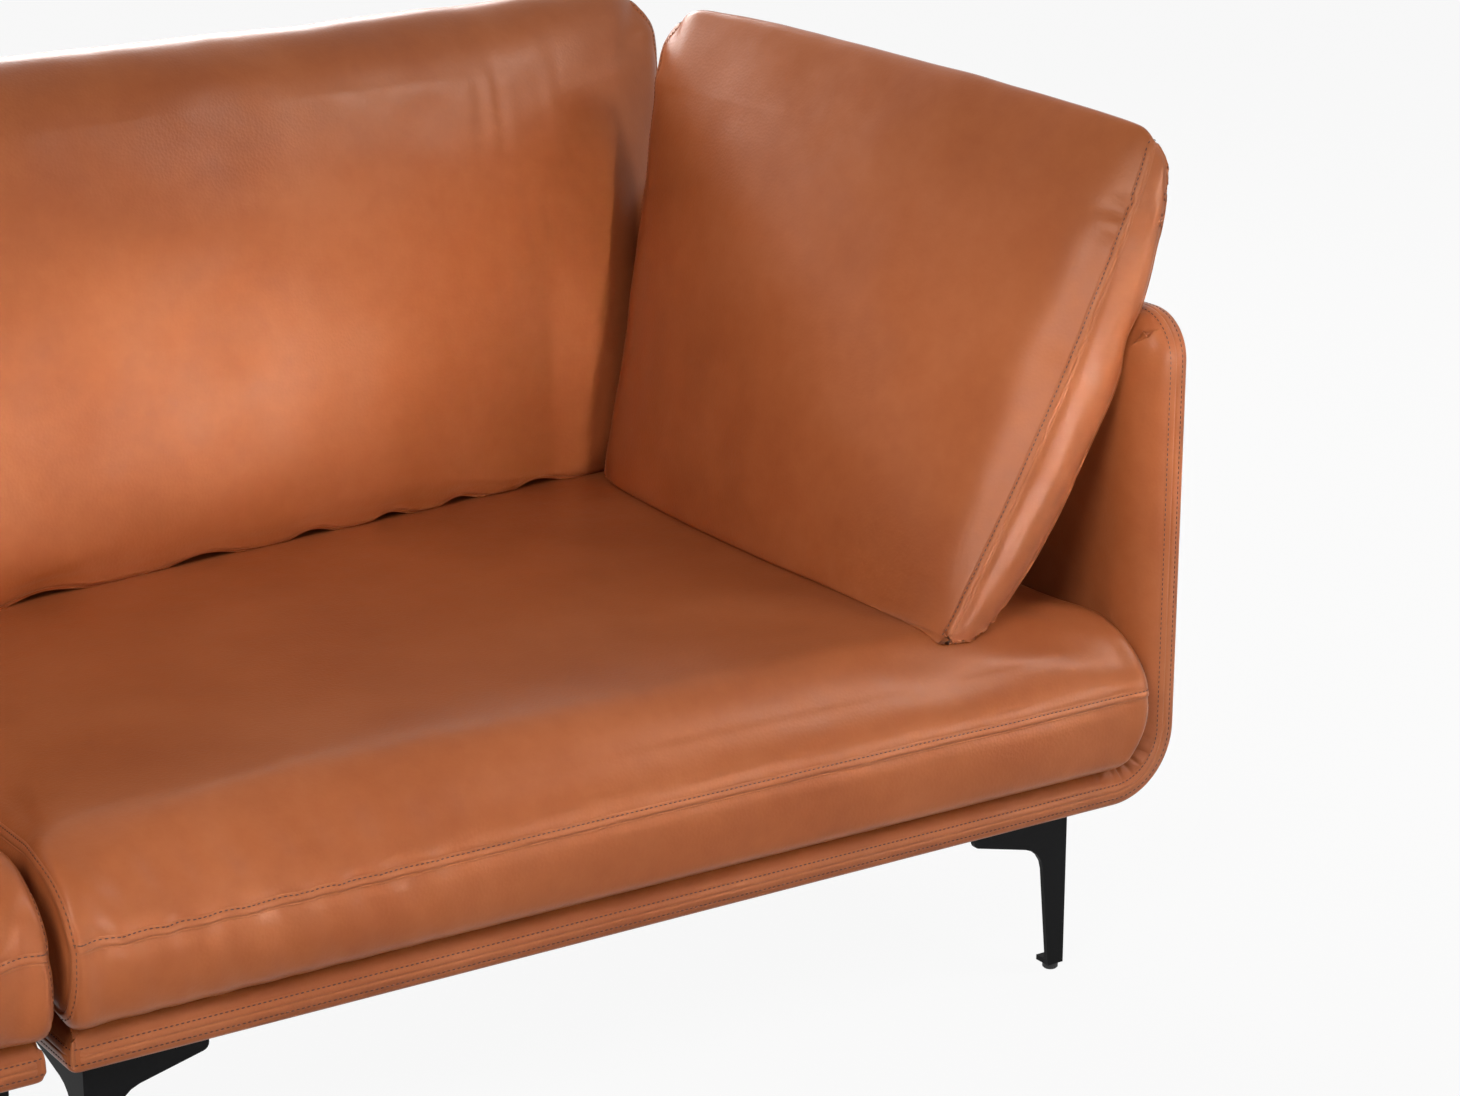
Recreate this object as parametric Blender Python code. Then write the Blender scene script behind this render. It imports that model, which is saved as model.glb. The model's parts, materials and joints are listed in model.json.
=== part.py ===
# Three-seater sofa made of two mirrored modules. In each module one padded leather panel is the
# base, bends up at the side and becomes the arm. A leaning back panel, three loose cushions,
# four L-section metal legs and the hidden frame complete it. Metres, +Z up, +X to the right of
# someone who looks at the front, +Y to the back.

import math

import bmesh
import bpy
from mathutils import Matrix, Vector

# Layout of one module
MODULE_WIDTH = 1.120
MODULE_GAP = 0.020
BASE_DEPTH = 0.795
ARM_RISE = 0.466
BACK_RISE = 0.535
BACK_LEAN = math.radians(7.0)

# Padded panels
SLAB = 0.048
BACK_SLAB = 0.050
BEND_RADIUS = 0.070
BEND_STEPS = 6
ARM_CORNER = 0.045
BACK_CORNER = 0.045
SOFT_EDGE = 0.028
CRISP_EDGE = 0.006
EDGE_PAD = 0.016
FACE_PAD = 0.010
ARM_LET_IN = 0.0005

# Frame inside the panels
RAIL_WIDTH = 0.060
DUST_COVER = 0.0015
WEBBING = 0.0022
STRAP_WIDTH = 0.070
STRAP_COUNT = 6
STRAP_HOLD = 0.040
BOARD_RIM = 0.075
WINDOW_CORNER = 0.025

# Legs and glides
LEG_HEIGHT = 0.160
LEG_REACH = 0.110
LEG_PLATE = 0.005
LEG_TIP = 0.020
LEG_TIP_ROUND = 0.007
LEG_KNEE = 0.029
LEG_KNEE_DROP = 0.040
LEG_KNEE_ROUND = 0.028
LEG_FOOT = 0.018
LEG_FLANGE = 0.090
LEG_FLANGE_LIP = 0.014
LEG_INNER_INSET = 0.021
LEG_OUTER_INSET = 0.103
LEG_FRONT_INSET = 0.030
LEG_REAR_INSET = 0.030
GLIDE_RADIUS = 0.0075
GLIDE_HEIGHT = 0.0065
GLIDE_CHAMFER = 0.0015
GLIDE_INSET = 0.0085

# Plates that link the two modules
LINK_LENGTH = 0.160
LINK_WIDTH = 0.040
LINK_PLATE = 0.003
LINK_HOLE = 0.0035
LINK_HOLE_STEP = 0.030
LINK_INSET = 0.220

# Seat cushion
SEAT_HEIGHT = 0.130
SEAT_CROWN = 0.018
SEAT_NOSE = 0.025
SEAT_OVERHANG = 0.006
SEAT_FRONT_ROLL = 0.050
SEAT_END_ROLL = 0.030

# Back cushion
BACK_CUSHION_BESIDE = 0.084
BACK_CUSHION_HEIGHT = 0.528
BACK_CUSHION_EDGE = 0.170
BACK_CUSHION_CROWN = 0.045
BACK_CUSHION_TAPER = 0.100
BACK_CUSHION_ROOM = 0.230
BACK_CUSHION_YAW = math.radians(6.0)
BACK_CUSHION_PINCH = 0.40
BACK_CUSHION_LEAN = math.radians(8.0)
BACK_CUSHION_SINK = 0.012

# Arm cushion
ARM_CUSHION_WIDTH = 0.616
ARM_CUSHION_HEIGHT = 0.524
ARM_CUSHION_EDGE = 0.058
ARM_CUSHION_CROWN = 0.045
ARM_CUSHION_FOOT = 0.246
ARM_CUSHION_START = 0.033
ARM_CUSHION_LEAN_FRONT = math.radians(28.0)
ARM_CUSHION_LEAN_REAR = math.radians(10.5)
ARM_CUSHION_SINK = 0.010
ARM_CUSHION_PINCH = 0.75

# Both loose pillows
PILLOW_ROLL = 0.060

# Clearances
FIT = 0.0003
CUSHION_GAP = 0.0006
BEYOND = 0.300

# Levels and places that follow
BASE_Z = GLIDE_HEIGHT + FIT + LEG_HEIGHT + FIT
BEND_START = MODULE_WIDTH - BEND_RADIUS
BEND_LENGTH = BEND_RADIUS * math.pi / 2
BEND_END = BEND_START + BEND_LENGTH
PANEL_LENGTH = BEND_END + ARM_RISE - BEND_RADIUS
ARM_INSIDE = MODULE_WIDTH - SLAB
INNER_BEND = BEND_RADIUS - SLAB
CAVITY_TOP = SLAB - FACE_PAD
RAIL_BOTTOM = DUST_COVER + FIT
RAIL_TOP = CAVITY_TOP - FIT - WEBBING - FIT
FRAME_FRONT = EDGE_PAD + FIT
FRAME_REAR = BASE_DEPTH - FACE_PAD - FIT
FRAME_INNER = EDGE_PAD + FIT
FRAME_OUTER = BEND_START - FIT
SEAT_LEVEL = SLAB + FIT
SEAT_TOP = SEAT_LEVEL + SEAT_HEIGHT
BACK_CUSHION_WIDTH = MODULE_WIDTH - BACK_CUSHION_BESIDE
BACK_CUSHION_START = BASE_DEPTH - BACK_CUSHION_ROOM
BACK_LENGTH = BACK_RISE / math.cos(BACK_LEAN)
BACK_WIDTH = ARM_INSIDE + ARM_LET_IN - FIT
BACK_LIFT = BACK_SLAB * math.sin(BACK_LEAN)
BACK_REACH = BASE_DEPTH + BACK_LENGTH * math.sin(BACK_LEAN) + BACK_SLAB * math.cos(BACK_LEAN)
FRONT_Y = SEAT_NOSE - (SEAT_NOSE + BACK_REACH) / 2

# Turns upright panel coordinates into the leaning back: x across, y from front to back, z up
LEANING = (
    Matrix.Translation((0.0, BASE_DEPTH, BACK_LIFT))
    @ Matrix.Rotation(-BACK_LEAN, 4, "X")
)


def srgb(hex_code):
    channels = [int(hex_code[i : i + 2], 16) / 255 for i in (0, 2, 4)]
    linear = [c / 12.92 if c <= 0.04045 else ((c + 0.055) / 1.055) ** 2.4 for c in channels]
    return (*linear, 1.0)


def make_material(name, hex_code, roughness, metallic=0.0):
    material = bpy.data.materials.new(name)
    material.use_nodes = True
    shader = material.node_tree.nodes["Principled BSDF"]
    shader.inputs["Base Color"].default_value = srgb(hex_code)
    shader.inputs["Roughness"].default_value = roughness
    shader.inputs["Metallic"].default_value = metallic
    return material


# Outline with each corner given as x, y, radius; the rounded ones become arcs
def fillet(corners, steps=5):
    outline = []
    for i, (x, y, radius) in enumerate(corners):
        here = Vector((x, y))
        if radius <= 0:
            outline.append(here)
            continue
        before = (Vector(corners[i - 1][:2]) - here).normalized()
        after = (Vector(corners[(i + 1) % len(corners)][:2]) - here).normalized()
        half = before.angle(after) / 2
        centre = here + (before + after).normalized() * radius / math.sin(half)
        start = here + before * radius / math.tan(half) - centre
        end = here + after * radius / math.tan(half) - centre
        turn = math.atan2(start.x * end.y - start.y * end.x, start.dot(end))
        for k in range(steps + 1):
            outline.append(centre + Matrix.Rotation(turn * k / steps, 2) @ start)
    return outline


def plate(outline, low, high):
    bm = bmesh.new()
    face = bm.faces.new([bm.verts.new((x, y, low)) for x, y in outline])
    grown = bmesh.ops.extrude_face_region(bm, geom=[face])["geom"]
    upper = [g for g in grown if isinstance(g, bmesh.types.BMVert)]
    bmesh.ops.translate(bm, verts=upper, vec=(0, 0, high - low))
    bmesh.ops.recalc_face_normals(bm, faces=bm.faces)
    return bm


def block(low, high):
    rectangle = [(low[0], low[1]), (high[0], low[1]), (high[0], high[1]), (low[0], high[1])]
    return plate(rectangle, low[2], high[2])


def move(bm, matrix):
    bmesh.ops.transform(bm, matrix=matrix, verts=bm.verts)
    if matrix.determinant() < 0:
        bmesh.ops.reverse_faces(bm, faces=bm.faces)
    return bm


def temporary(bm):
    mesh = bpy.data.meshes.new("work")
    bm.to_mesh(mesh)
    bm.free()
    body = bpy.data.objects.new("work", mesh)
    bpy.context.collection.objects.link(body)
    return body


def evaluated(body):
    bm = bmesh.new()
    bm.from_object(body, bpy.context.evaluated_depsgraph_get())
    return bm


def combine(bm, others, operation):
    body = temporary(bm)
    tools = [temporary(other) for other in others]
    for tool in tools:
        modifier = body.modifiers.new("combine", "BOOLEAN")
        modifier.operation = operation
        modifier.solver = "EXACT"
        modifier.object = tool
    result = evaluated(body)
    for used in [body, *tools]:
        bpy.data.objects.remove(used)
    return result


def subdivide(bm):
    body = temporary(bm)
    modifier = body.modifiers.new("round", "SUBSURF")
    modifier.levels = 1
    modifier.render_levels = 1
    result = evaluated(body)
    bpy.data.objects.remove(body)
    return result


# Padded panel lying flat: a crisp rounded edge on the outer face at z 0 and a soft rolled one on
# the inner face; the edges along plain_edge, a y value, stay square
def padded_panel(outline, thickness, plain_edge):
    bm = plate(outline, 0.0, thickness)
    for level, radius, steps in ((thickness, SOFT_EDGE, 4), (0.0, CRISP_EDGE, 2)):
        rim = [
            edge
            for edge in bm.edges
            if all(abs(v.co.z - level) < FIT for v in edge.verts)
            and not all(abs(v.co.y - plain_edge) < FIT for v in edge.verts)
        ]
        bmesh.ops.bevel(
            bm, geom=rim, offset=radius, segments=steps, profile=0.5, affect="EDGES"
        )
    return bm


# Bends flat panel coordinates up into the arm: x along the panel, y to the back, z the thickness
def bend(bm):
    for step in range(BEND_STEPS + 1):
        bmesh.ops.bisect_plane(
            bm,
            geom=[*bm.verts, *bm.edges, *bm.faces],
            plane_co=(BEND_START + BEND_LENGTH * step / BEND_STEPS, 0, 0),
            plane_no=(1, 0, 0),
            dist=FIT / 10,
        )
    for vertex in bm.verts:
        along, depth, thickness = vertex.co
        if along >= BEND_END:
            vertex.co = (MODULE_WIDTH - thickness, depth, BEND_RADIUS + along - BEND_END)
        elif along > BEND_START:
            angle = (along - BEND_START) / BEND_RADIUS
            radius = BEND_RADIUS - thickness
            vertex.co.x = BEND_START + radius * math.sin(angle)
            vertex.co.z = BEND_RADIUS - radius * math.cos(angle)
    return bm


def leaning_block(low, high):
    return move(block(low, high), LEANING)


# Outline of the space inside the arm, and of the board in it when clearance is given
def arm_core_outline(start, clearance):
    top = PANEL_LENGTH - EDGE_PAD - clearance
    front = EDGE_PAD + clearance
    rear = BASE_DEPTH - FACE_PAD - clearance
    return fillet(
        [
            (start, front, 0),
            (top, front, ARM_CORNER - EDGE_PAD),
            (top, rear, 0),
            (start, rear, 0),
        ]
    )


def tray():
    depth = BACK_REACH + BEYOND
    outline = fillet(
        [
            (0, 0, 0),
            (PANEL_LENGTH, 0, ARM_CORNER),
            (PANEL_LENGTH, depth, 0),
            (0, depth, 0),
        ]
    )
    panel = bend(padded_panel(outline, SLAB, depth))
    base_core = block(
        (EDGE_PAD, EDGE_PAD, -BEYOND), (BEND_START, BASE_DEPTH - FACE_PAD, CAVITY_TOP)
    )
    arm_core = bend(plate(arm_core_outline(BEND_START - RAIL_WIDTH, 0.0), FACE_PAD, CAVITY_TOP))
    back_seat = leaning_block(
        (-BEYOND, -FIT, -BEYOND), (ARM_INSIDE + ARM_LET_IN, 2 * depth, 2 * BACK_RISE)
    )
    rear = leaning_block(
        (-BEYOND, BACK_SLAB, -BEYOND), (2 * MODULE_WIDTH, 2 * depth, 2 * BACK_RISE)
    )
    return combine(panel, [base_core, arm_core, back_seat, rear], "DIFFERENCE")


def back_panel():
    outline = fillet(
        [
            (0, 0, 0),
            (BACK_WIDTH, 0, 0),
            (BACK_WIDTH, BACK_LENGTH, BACK_CORNER),
            (0, BACK_LENGTH, BACK_CORNER),
        ]
    )
    panel = padded_panel(outline, BACK_SLAB, 0.0)
    core = plate(back_core_outline(-BEYOND, 0.0), FACE_PAD, BACK_SLAB - FACE_PAD)
    return move(combine(panel, [core], "DIFFERENCE"), upright())


# Stands a flat panel up on its lower edge, with its outer face to the back, and leans it
def upright():
    turned = Matrix.Translation((0, BACK_SLAB, 0)) @ Matrix.Rotation(math.pi / 2, 4, "X")
    return LEANING @ turned


def back_core_outline(bottom, clearance):
    left = EDGE_PAD + clearance
    right = BACK_WIDTH - EDGE_PAD - clearance
    top = BACK_LENGTH - EDGE_PAD - clearance
    return fillet(
        [
            (left, bottom, 0),
            (right, bottom, 0),
            (right, top, BACK_CORNER - EDGE_PAD),
            (left, top, BACK_CORNER - EDGE_PAD),
        ]
    )


# Rounded windows side by side through a board that spans the given corners
def windows(low, high, count):
    pitch = (high[0] - low[0] - BOARD_RIM) / count
    found = []
    for i in range(count):
        left = low[0] + BOARD_RIM + i * pitch
        right = left + pitch - BOARD_RIM
        bottom = low[1] + BOARD_RIM
        top = high[1] - BOARD_RIM
        corners = [(left, bottom), (right, bottom), (right, top), (left, top)]
        outline = fillet([(x, y, WINDOW_CORNER) for x, y in corners], 3)
        found.append(plate(outline, -BEYOND, BEYOND))
    return found


def arm_board():
    start = BEND_END + FIT
    board = plate(arm_core_outline(start, FIT), FACE_PAD + FIT, CAVITY_TOP - FIT)
    low = (FRAME_FRONT, start)
    high = (FRAME_REAR, PANEL_LENGTH - FRAME_FRONT)
    swap = Matrix(((0, 1, 0, 0), (1, 0, 0, 0), (0, 0, 1, 0), (0, 0, 0, 1)))
    cuts = [move(window, swap) for window in windows(low, high, 2)]
    return bend(combine(board, cuts, "DIFFERENCE"))


def back_frame():
    frame = plate(back_core_outline(0.0, FIT), FACE_PAD + FIT, BACK_SLAB - FACE_PAD - FIT)
    low = (FRAME_INNER, 0.0)
    high = (BACK_WIDTH - FRAME_INNER, BACK_LENGTH - FRAME_FRONT)
    return move(combine(frame, windows(low, high, 3), "DIFFERENCE"), upright())


def corner_block():
    low = (BEND_START + FIT, FRAME_FRONT, FACE_PAD + FIT)
    high = (BEND_END - FIT, FRAME_REAR, CAVITY_TOP - FIT)
    return bend(block(low, high))


def rails():
    front = FRAME_FRONT + RAIL_WIDTH
    rear = FRAME_REAR - RAIL_WIDTH
    centre = (FRAME_INNER + FRAME_OUTER - RAIL_WIDTH) / 2
    spans = {
        "front_rail": (FRAME_INNER, FRAME_OUTER, FRAME_FRONT, front),
        "rear_rail": (FRAME_INNER, FRAME_OUTER, rear, FRAME_REAR),
        "inner_rail": (FRAME_INNER, FRAME_INNER + RAIL_WIDTH, front + FIT, rear - FIT),
        "centre_rail": (centre, centre + RAIL_WIDTH, front + FIT, rear - FIT),
        "outer_rail": (FRAME_OUTER - RAIL_WIDTH, FRAME_OUTER, front + FIT, rear - FIT),
    }
    return {
        name: block((left, near, RAIL_BOTTOM), (right, far, RAIL_TOP))
        for name, (left, right, near, far) in spans.items()
    }


def straps():
    first = FRAME_INNER + RAIL_WIDTH
    pitch = (FRAME_OUTER - RAIL_WIDTH - first) / STRAP_COUNT
    near = FRAME_FRONT + RAIL_WIDTH - STRAP_HOLD
    far = FRAME_REAR - RAIL_WIDTH + STRAP_HOLD
    low = RAIL_TOP + FIT
    found = {}
    for i in range(STRAP_COUNT):
        left = first + pitch * (i + 0.5) - STRAP_WIDTH / 2
        found[f"strap_{i + 1}"] = block((left, near, low), (left + STRAP_WIDTH, far, low + WEBBING))
    return found


def dust_cover():
    return block((FRAME_INNER, FRAME_FRONT, 0.0), (FRAME_OUTER, FRAME_REAR, DUST_COVER))


# Leg with its corner edge at the origin and its top at z 0; one plate runs along x, one along y
def leg():
    side = fillet(
        [
            (0, 0, 0),
            (0, -LEG_HEIGHT, 0),
            (LEG_FOOT, -LEG_HEIGHT, 0),
            (LEG_KNEE, -LEG_KNEE_DROP, LEG_KNEE_ROUND),
            (LEG_REACH, -LEG_TIP, LEG_TIP_ROUND),
            (LEG_REACH, 0, 0),
        ],
        4,
    )
    front = move(plate(side, -LEG_PLATE, 0.0), Matrix.Rotation(math.pi / 2, 4, "X"))
    swap = Matrix(((0, 1, 0, 0), (1, 0, 0, 0), (0, 0, 1, 0), (0, 0, 0, 1)))
    across = move(front.copy(), swap)
    flange_outline = [
        (0, 0),
        (LEG_FLANGE, 0),
        (LEG_FLANGE, LEG_FLANGE_LIP),
        (LEG_FLANGE_LIP, LEG_FLANGE),
        (0, LEG_FLANGE),
    ]
    flange = plate(flange_outline, -LEG_PLATE, 0.0)
    tab = block((0, 0, -LEG_HEIGHT), (LEG_FOOT, LEG_FOOT, LEG_PLATE - LEG_HEIGHT))
    return combine(front, [across, flange, tab], "UNION")


def glide():
    bm = bmesh.new()
    bmesh.ops.create_cone(
        bm,
        cap_ends=True,
        segments=20,
        radius1=GLIDE_RADIUS,
        radius2=GLIDE_RADIUS,
        depth=GLIDE_HEIGHT,
    )
    rim = [e for e in bm.edges if all(v.co.z < 0 for v in e.verts)]
    bmesh.ops.bevel(
        bm, geom=rim, offset=GLIDE_CHAMFER, segments=1, profile=0.5, affect="EDGES"
    )
    return bm


def link_plate():
    half = LINK_LENGTH / 2
    corners = [(-half, -1), (half, -1), (half, 1), (-half, 1)]
    outline = fillet([(x, y * LINK_WIDTH / 2, LINK_WIDTH / 4) for x, y in corners], 3)
    holes = []
    for side in (-1, 1):
        for i in (1, 2):
            hole = bmesh.new()
            bmesh.ops.create_cone(
                hole,
                cap_ends=True,
                segments=12,
                radius1=LINK_HOLE,
                radius2=LINK_HOLE,
                depth=BEYOND,
            )
            holes.append(move(hole, Matrix.Translation((side * i * LINK_HOLE_STEP, 0, 0))))
    return combine(plate(outline, 0.0, LINK_PLATE), holes, "DIFFERENCE")


# Places along one side of a cushion: both ends, a support line close to each, equal spans between
def stations(low, high, low_roll, high_roll, spans):
    first = low + low_roll
    last = high - high_roll
    middle = [first + (last - first) * i / spans for i in range(spans + 1)]
    return [low, *middle, high]


# Quads over the outside of a box, divided at the given stations
def cage(xs, ys, zs):
    bm = bmesh.new()
    ends = (len(xs) - 1, len(ys) - 1, len(zs) - 1)
    corner = {}
    for i, x in enumerate(xs):
        for j, y in enumerate(ys):
            for k, z in enumerate(zs):
                if i in (0, ends[0]) or j in (0, ends[1]) or k in (0, ends[2]):
                    corner[i, j, k] = bm.verts.new((x, y, z))
    for axis in range(3):
        a, b = [n for n in range(3) if n != axis]
        for side in (0, ends[axis]):
            for p in range(ends[a]):
                for q in range(ends[b]):
                    ring = []
                    for dp, dq in ((0, 0), (1, 0), (1, 1), (0, 1)):
                        key = [0, 0, 0]
                        key[axis] = side
                        key[a] = p + dp
                        key[b] = q + dq
                        ring.append(corner[tuple(key)])
                    bm.faces.new(ring)
    bmesh.ops.recalc_face_normals(bm, faces=bm.faces)
    return bm


def seat_cushion():
    left = -SEAT_OVERHANG
    right = ARM_INSIDE - CUSHION_GAP
    rear = BASE_DEPTH - CUSHION_GAP
    bm = cage(
        stations(left, right, SEAT_END_ROLL, SEAT_END_ROLL, 4),
        stations(-SEAT_NOSE, rear, SEAT_FRONT_ROLL, SEAT_END_ROLL, 4),
        stations(0, SEAT_HEIGHT, SEAT_HEIGHT / 3, SEAT_HEIGHT / 3, 1),
    )
    for vertex in bm.verts:
        a = (2 * vertex.co.x - left - right) / (right - left)
        b = (2 * vertex.co.y + SEAT_NOSE - rear) / (rear + SEAT_NOSE)
        share = vertex.co.z / SEAT_HEIGHT
        if a > 1 - FIT and share < FIT:
            vertex.co.x -= INNER_BEND
            vertex.co.z += INNER_BEND
        vertex.co.z += SEAT_LEVEL + share * SEAT_CROWN * (1 - a * a) * (1 - b * b)
    return subdivide(bm)


# Loose pillow lying flat: x across, y up its height, z through its thickness, front face at z 0,
# full in the middle and pinched at the corners
def pillow(width, height, edge, crown, pinch):
    bm = cage(
        stations(0, width, PILLOW_ROLL, PILLOW_ROLL, 4),
        stations(0, height, PILLOW_ROLL, PILLOW_ROLL, 3),
        [0, 0.5, 1],
    )
    for vertex in bm.verts:
        a = 2 * vertex.co.x / width - 1
        b = 2 * vertex.co.y / height - 1
        depth = edge * (1 - pinch * a * a * b * b)
        puff = crown * (1 - a * a) * (1 - b * b)
        vertex.co.z = vertex.co.z * depth + (2 * vertex.co.z - 1) * puff
    return bm


# What the loose cushions sit on: the seat raised by the clearance
def seat_bed():
    return move(seat_cushion(), Matrix.Translation((0, 0, CUSHION_GAP)))


def back_cushion():
    bm = pillow(
        BACK_CUSHION_WIDTH,
        BACK_CUSHION_HEIGHT,
        BACK_CUSHION_EDGE,
        BACK_CUSHION_CROWN,
        BACK_CUSHION_PINCH,
    )
    sine = math.sin(BACK_CUSHION_LEAN)
    cosine = math.cos(BACK_CUSHION_LEAN)
    for vertex in bm.verts:
        across, up, depth = vertex.co
        narrowing = 1 - BACK_CUSHION_TAPER * (1 - up / BACK_CUSHION_HEIGHT)
        start = BACK_CUSHION_START + across * math.tan(BACK_CUSHION_YAW)
        vertex.co.x = across * narrowing - SEAT_OVERHANG
        vertex.co.y = start + up * sine + depth * cosine
        vertex.co.z = SEAT_TOP - BACK_CUSHION_SINK + up * cosine - depth * sine
    bmesh.ops.recalc_face_normals(bm, faces=bm.faces)
    wall = leaning_block(
        (-BEYOND, -CUSHION_GAP, -BEYOND), (2 * MODULE_WIDTH, BEYOND, 2 * BACK_LENGTH)
    )
    beside = block(
        (MODULE_WIDTH - ARM_CUSHION_FOOT - ARM_CUSHION_CROWN - CUSHION_GAP, -BEYOND, -BEYOND),
        (2 * MODULE_WIDTH, ARM_CUSHION_START + ARM_CUSHION_WIDTH + CUSHION_GAP, 2 * BACK_RISE),
    )
    return combine(subdivide(bm), [wall, beside, seat_bed()], "DIFFERENCE")


def arm_cushion():
    bm = pillow(
        ARM_CUSHION_WIDTH,
        ARM_CUSHION_HEIGHT,
        ARM_CUSHION_EDGE,
        ARM_CUSHION_CROWN,
        ARM_CUSHION_PINCH,
    )
    for vertex in bm.verts:
        across, up, depth = vertex.co
        share = across / ARM_CUSHION_WIDTH
        lean = ARM_CUSHION_LEAN_FRONT + share * (ARM_CUSHION_LEAN_REAR - ARM_CUSHION_LEAN_FRONT)
        foot = MODULE_WIDTH - ARM_CUSHION_FOOT
        vertex.co.x = foot + up * math.sin(lean) + depth * math.cos(lean)
        vertex.co.y = ARM_CUSHION_START + across
        vertex.co.z = SEAT_TOP - ARM_CUSHION_SINK + up * math.cos(lean) - depth * math.sin(lean)
    bmesh.ops.recalc_face_normals(bm, faces=bm.faces)
    arm = block(
        (ARM_INSIDE - CUSHION_GAP, -BEYOND, -BEYOND),
        (2 * MODULE_WIDTH, 2 * BASE_DEPTH, ARM_RISE + CUSHION_GAP),
    )
    shoulder = [
        e
        for e in arm.edges
        if all(v.co.x < ARM_INSIDE and v.co.z > ARM_RISE for v in e.verts)
    ]
    bmesh.ops.bevel(
        arm, geom=shoulder, offset=SOFT_EDGE, segments=4, profile=0.5, affect="EDGES"
    )
    return combine(subdivide(bm), [arm, seat_bed()], "DIFFERENCE")


# Adds one named piece; its mesh is given in module coordinates and its origin goes to the given
# place, on the far side of the sofa's middle when sign is -1
def add_piece(name, bm, material, origin, sign, holder):
    move(bm, Matrix.Translation(-Vector(origin)))
    move(bm, Matrix.Diagonal((sign, 1, 1, 1)))
    bmesh.ops.remove_doubles(bm, verts=bm.verts, dist=FIT / 100)
    bmesh.ops.dissolve_degenerate(bm, edges=bm.edges, dist=FIT / 100)
    bmesh.ops.triangulate(bm, faces=bm.faces)
    mesh = bpy.data.meshes.new(name)
    bm.to_mesh(mesh)
    bm.free()
    mesh.materials.append(material)
    mesh.shade_smooth()
    mesh.set_sharp_from_angle(angle=math.radians(35))
    piece = bpy.data.objects.new(name, mesh)
    bpy.context.collection.objects.link(piece)
    piece.parent = holder
    piece.location = (sign * origin[0], origin[1], origin[2])


def leg_places():
    inner = LEG_INNER_INSET
    outer = MODULE_WIDTH - LEG_OUTER_INSET
    front = LEG_FRONT_INSET
    rear = BASE_DEPTH - LEG_REAR_INSET
    return {
        "front_inner": (inner, front, 1, 1),
        "front_outer": (outer, front, -1, 1),
        "rear_inner": (inner, rear, 1, -1),
        "rear_outer": (outer, rear, -1, -1),
    }


def build_module(side, sign, materials):
    holder = bpy.data.objects.new(f"module_{side}", None)
    bpy.context.collection.objects.link(holder)
    holder.location = (sign * MODULE_GAP / 2, FRONT_Y, BASE_Z)

    def add(name, bm, material, origin=(0, 0, 0)):
        add_piece(f"{name}_{side}", bm, materials[material], origin, sign, holder)

    add("tray", tray(), "leather")
    add("back_panel", back_panel(), "leather", (0, BASE_DEPTH, BACK_LIFT))
    for name, rail in rails().items():
        add(name, rail, "timber")
    add("corner_block", corner_block(), "timber")
    add("arm_board", arm_board(), "timber")
    add("back_frame", back_frame(), "timber", (0, BASE_DEPTH, BACK_LIFT))
    for name, strap in straps().items():
        add(name, strap, "webbing")
    add("dust_cover", dust_cover(), "lining")
    for place, (x, y, along, back) in leg_places().items():
        corner = Matrix.Translation((x, y, -FIT)) @ Matrix.Diagonal((along, back, 1, 1))
        foot = (x + along * GLIDE_INSET, y + back * GLIDE_INSET, GLIDE_HEIGHT / 2 - BASE_Z)
        add(f"leg_{place}", move(leg(), corner), "black_metal", (x, y, -FIT))
        add(f"glide_{place}", move(glide(), Matrix.Translation(foot)), "black_plastic", foot)
    add("seat_cushion", seat_cushion(), "leather", (MODULE_WIDTH / 2, BASE_DEPTH / 2, SEAT_LEVEL))
    add("back_cushion", back_cushion(), "leather", (MODULE_WIDTH / 2, BASE_DEPTH, SEAT_TOP))
    add("arm_cushion", arm_cushion(), "leather", (MODULE_WIDTH, BASE_DEPTH / 2, SEAT_TOP))


def main():
    for old in list(bpy.data.objects):
        bpy.data.objects.remove(old)
    materials = {
        "leather": make_material("cognac_leather", "A85C37", 0.45),
        "timber": make_material("frame_timber", "C9A878", 0.7),
        "webbing": make_material("elastic_webbing", "3A3733", 0.85),
        "lining": make_material("dust_cover_cloth", "1E1C1B", 0.9),
        "black_metal": make_material("black_painted_metal", "222222", 0.4, 0.6),
        "black_plastic": make_material("black_plastic", "1B1B1B", 0.5),
    }
    for side, sign in (("right", 1), ("left", -1)):
        build_module(side, sign, materials)
    links = bpy.data.objects.new("links", None)
    bpy.context.collection.objects.link(links)
    links.location = (0, FRONT_Y, BASE_Z - FIT - LINK_PLATE)
    for name, depth in (("front", LINK_INSET), ("rear", BASE_DEPTH - LINK_INSET)):
        origin = (0, depth, 0)
        strap = move(link_plate(), Matrix.Translation(origin))
        add_piece(f"link_plate_{name}", strap, materials["black_metal"], origin, 1, links)


main()
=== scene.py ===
import json
import math
import bmesh
import bpy
from mathutils import Matrix, Vector, noise
from mathutils.bvhtree import BVHTree
from mathutils.kdtree import KDTree


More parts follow.
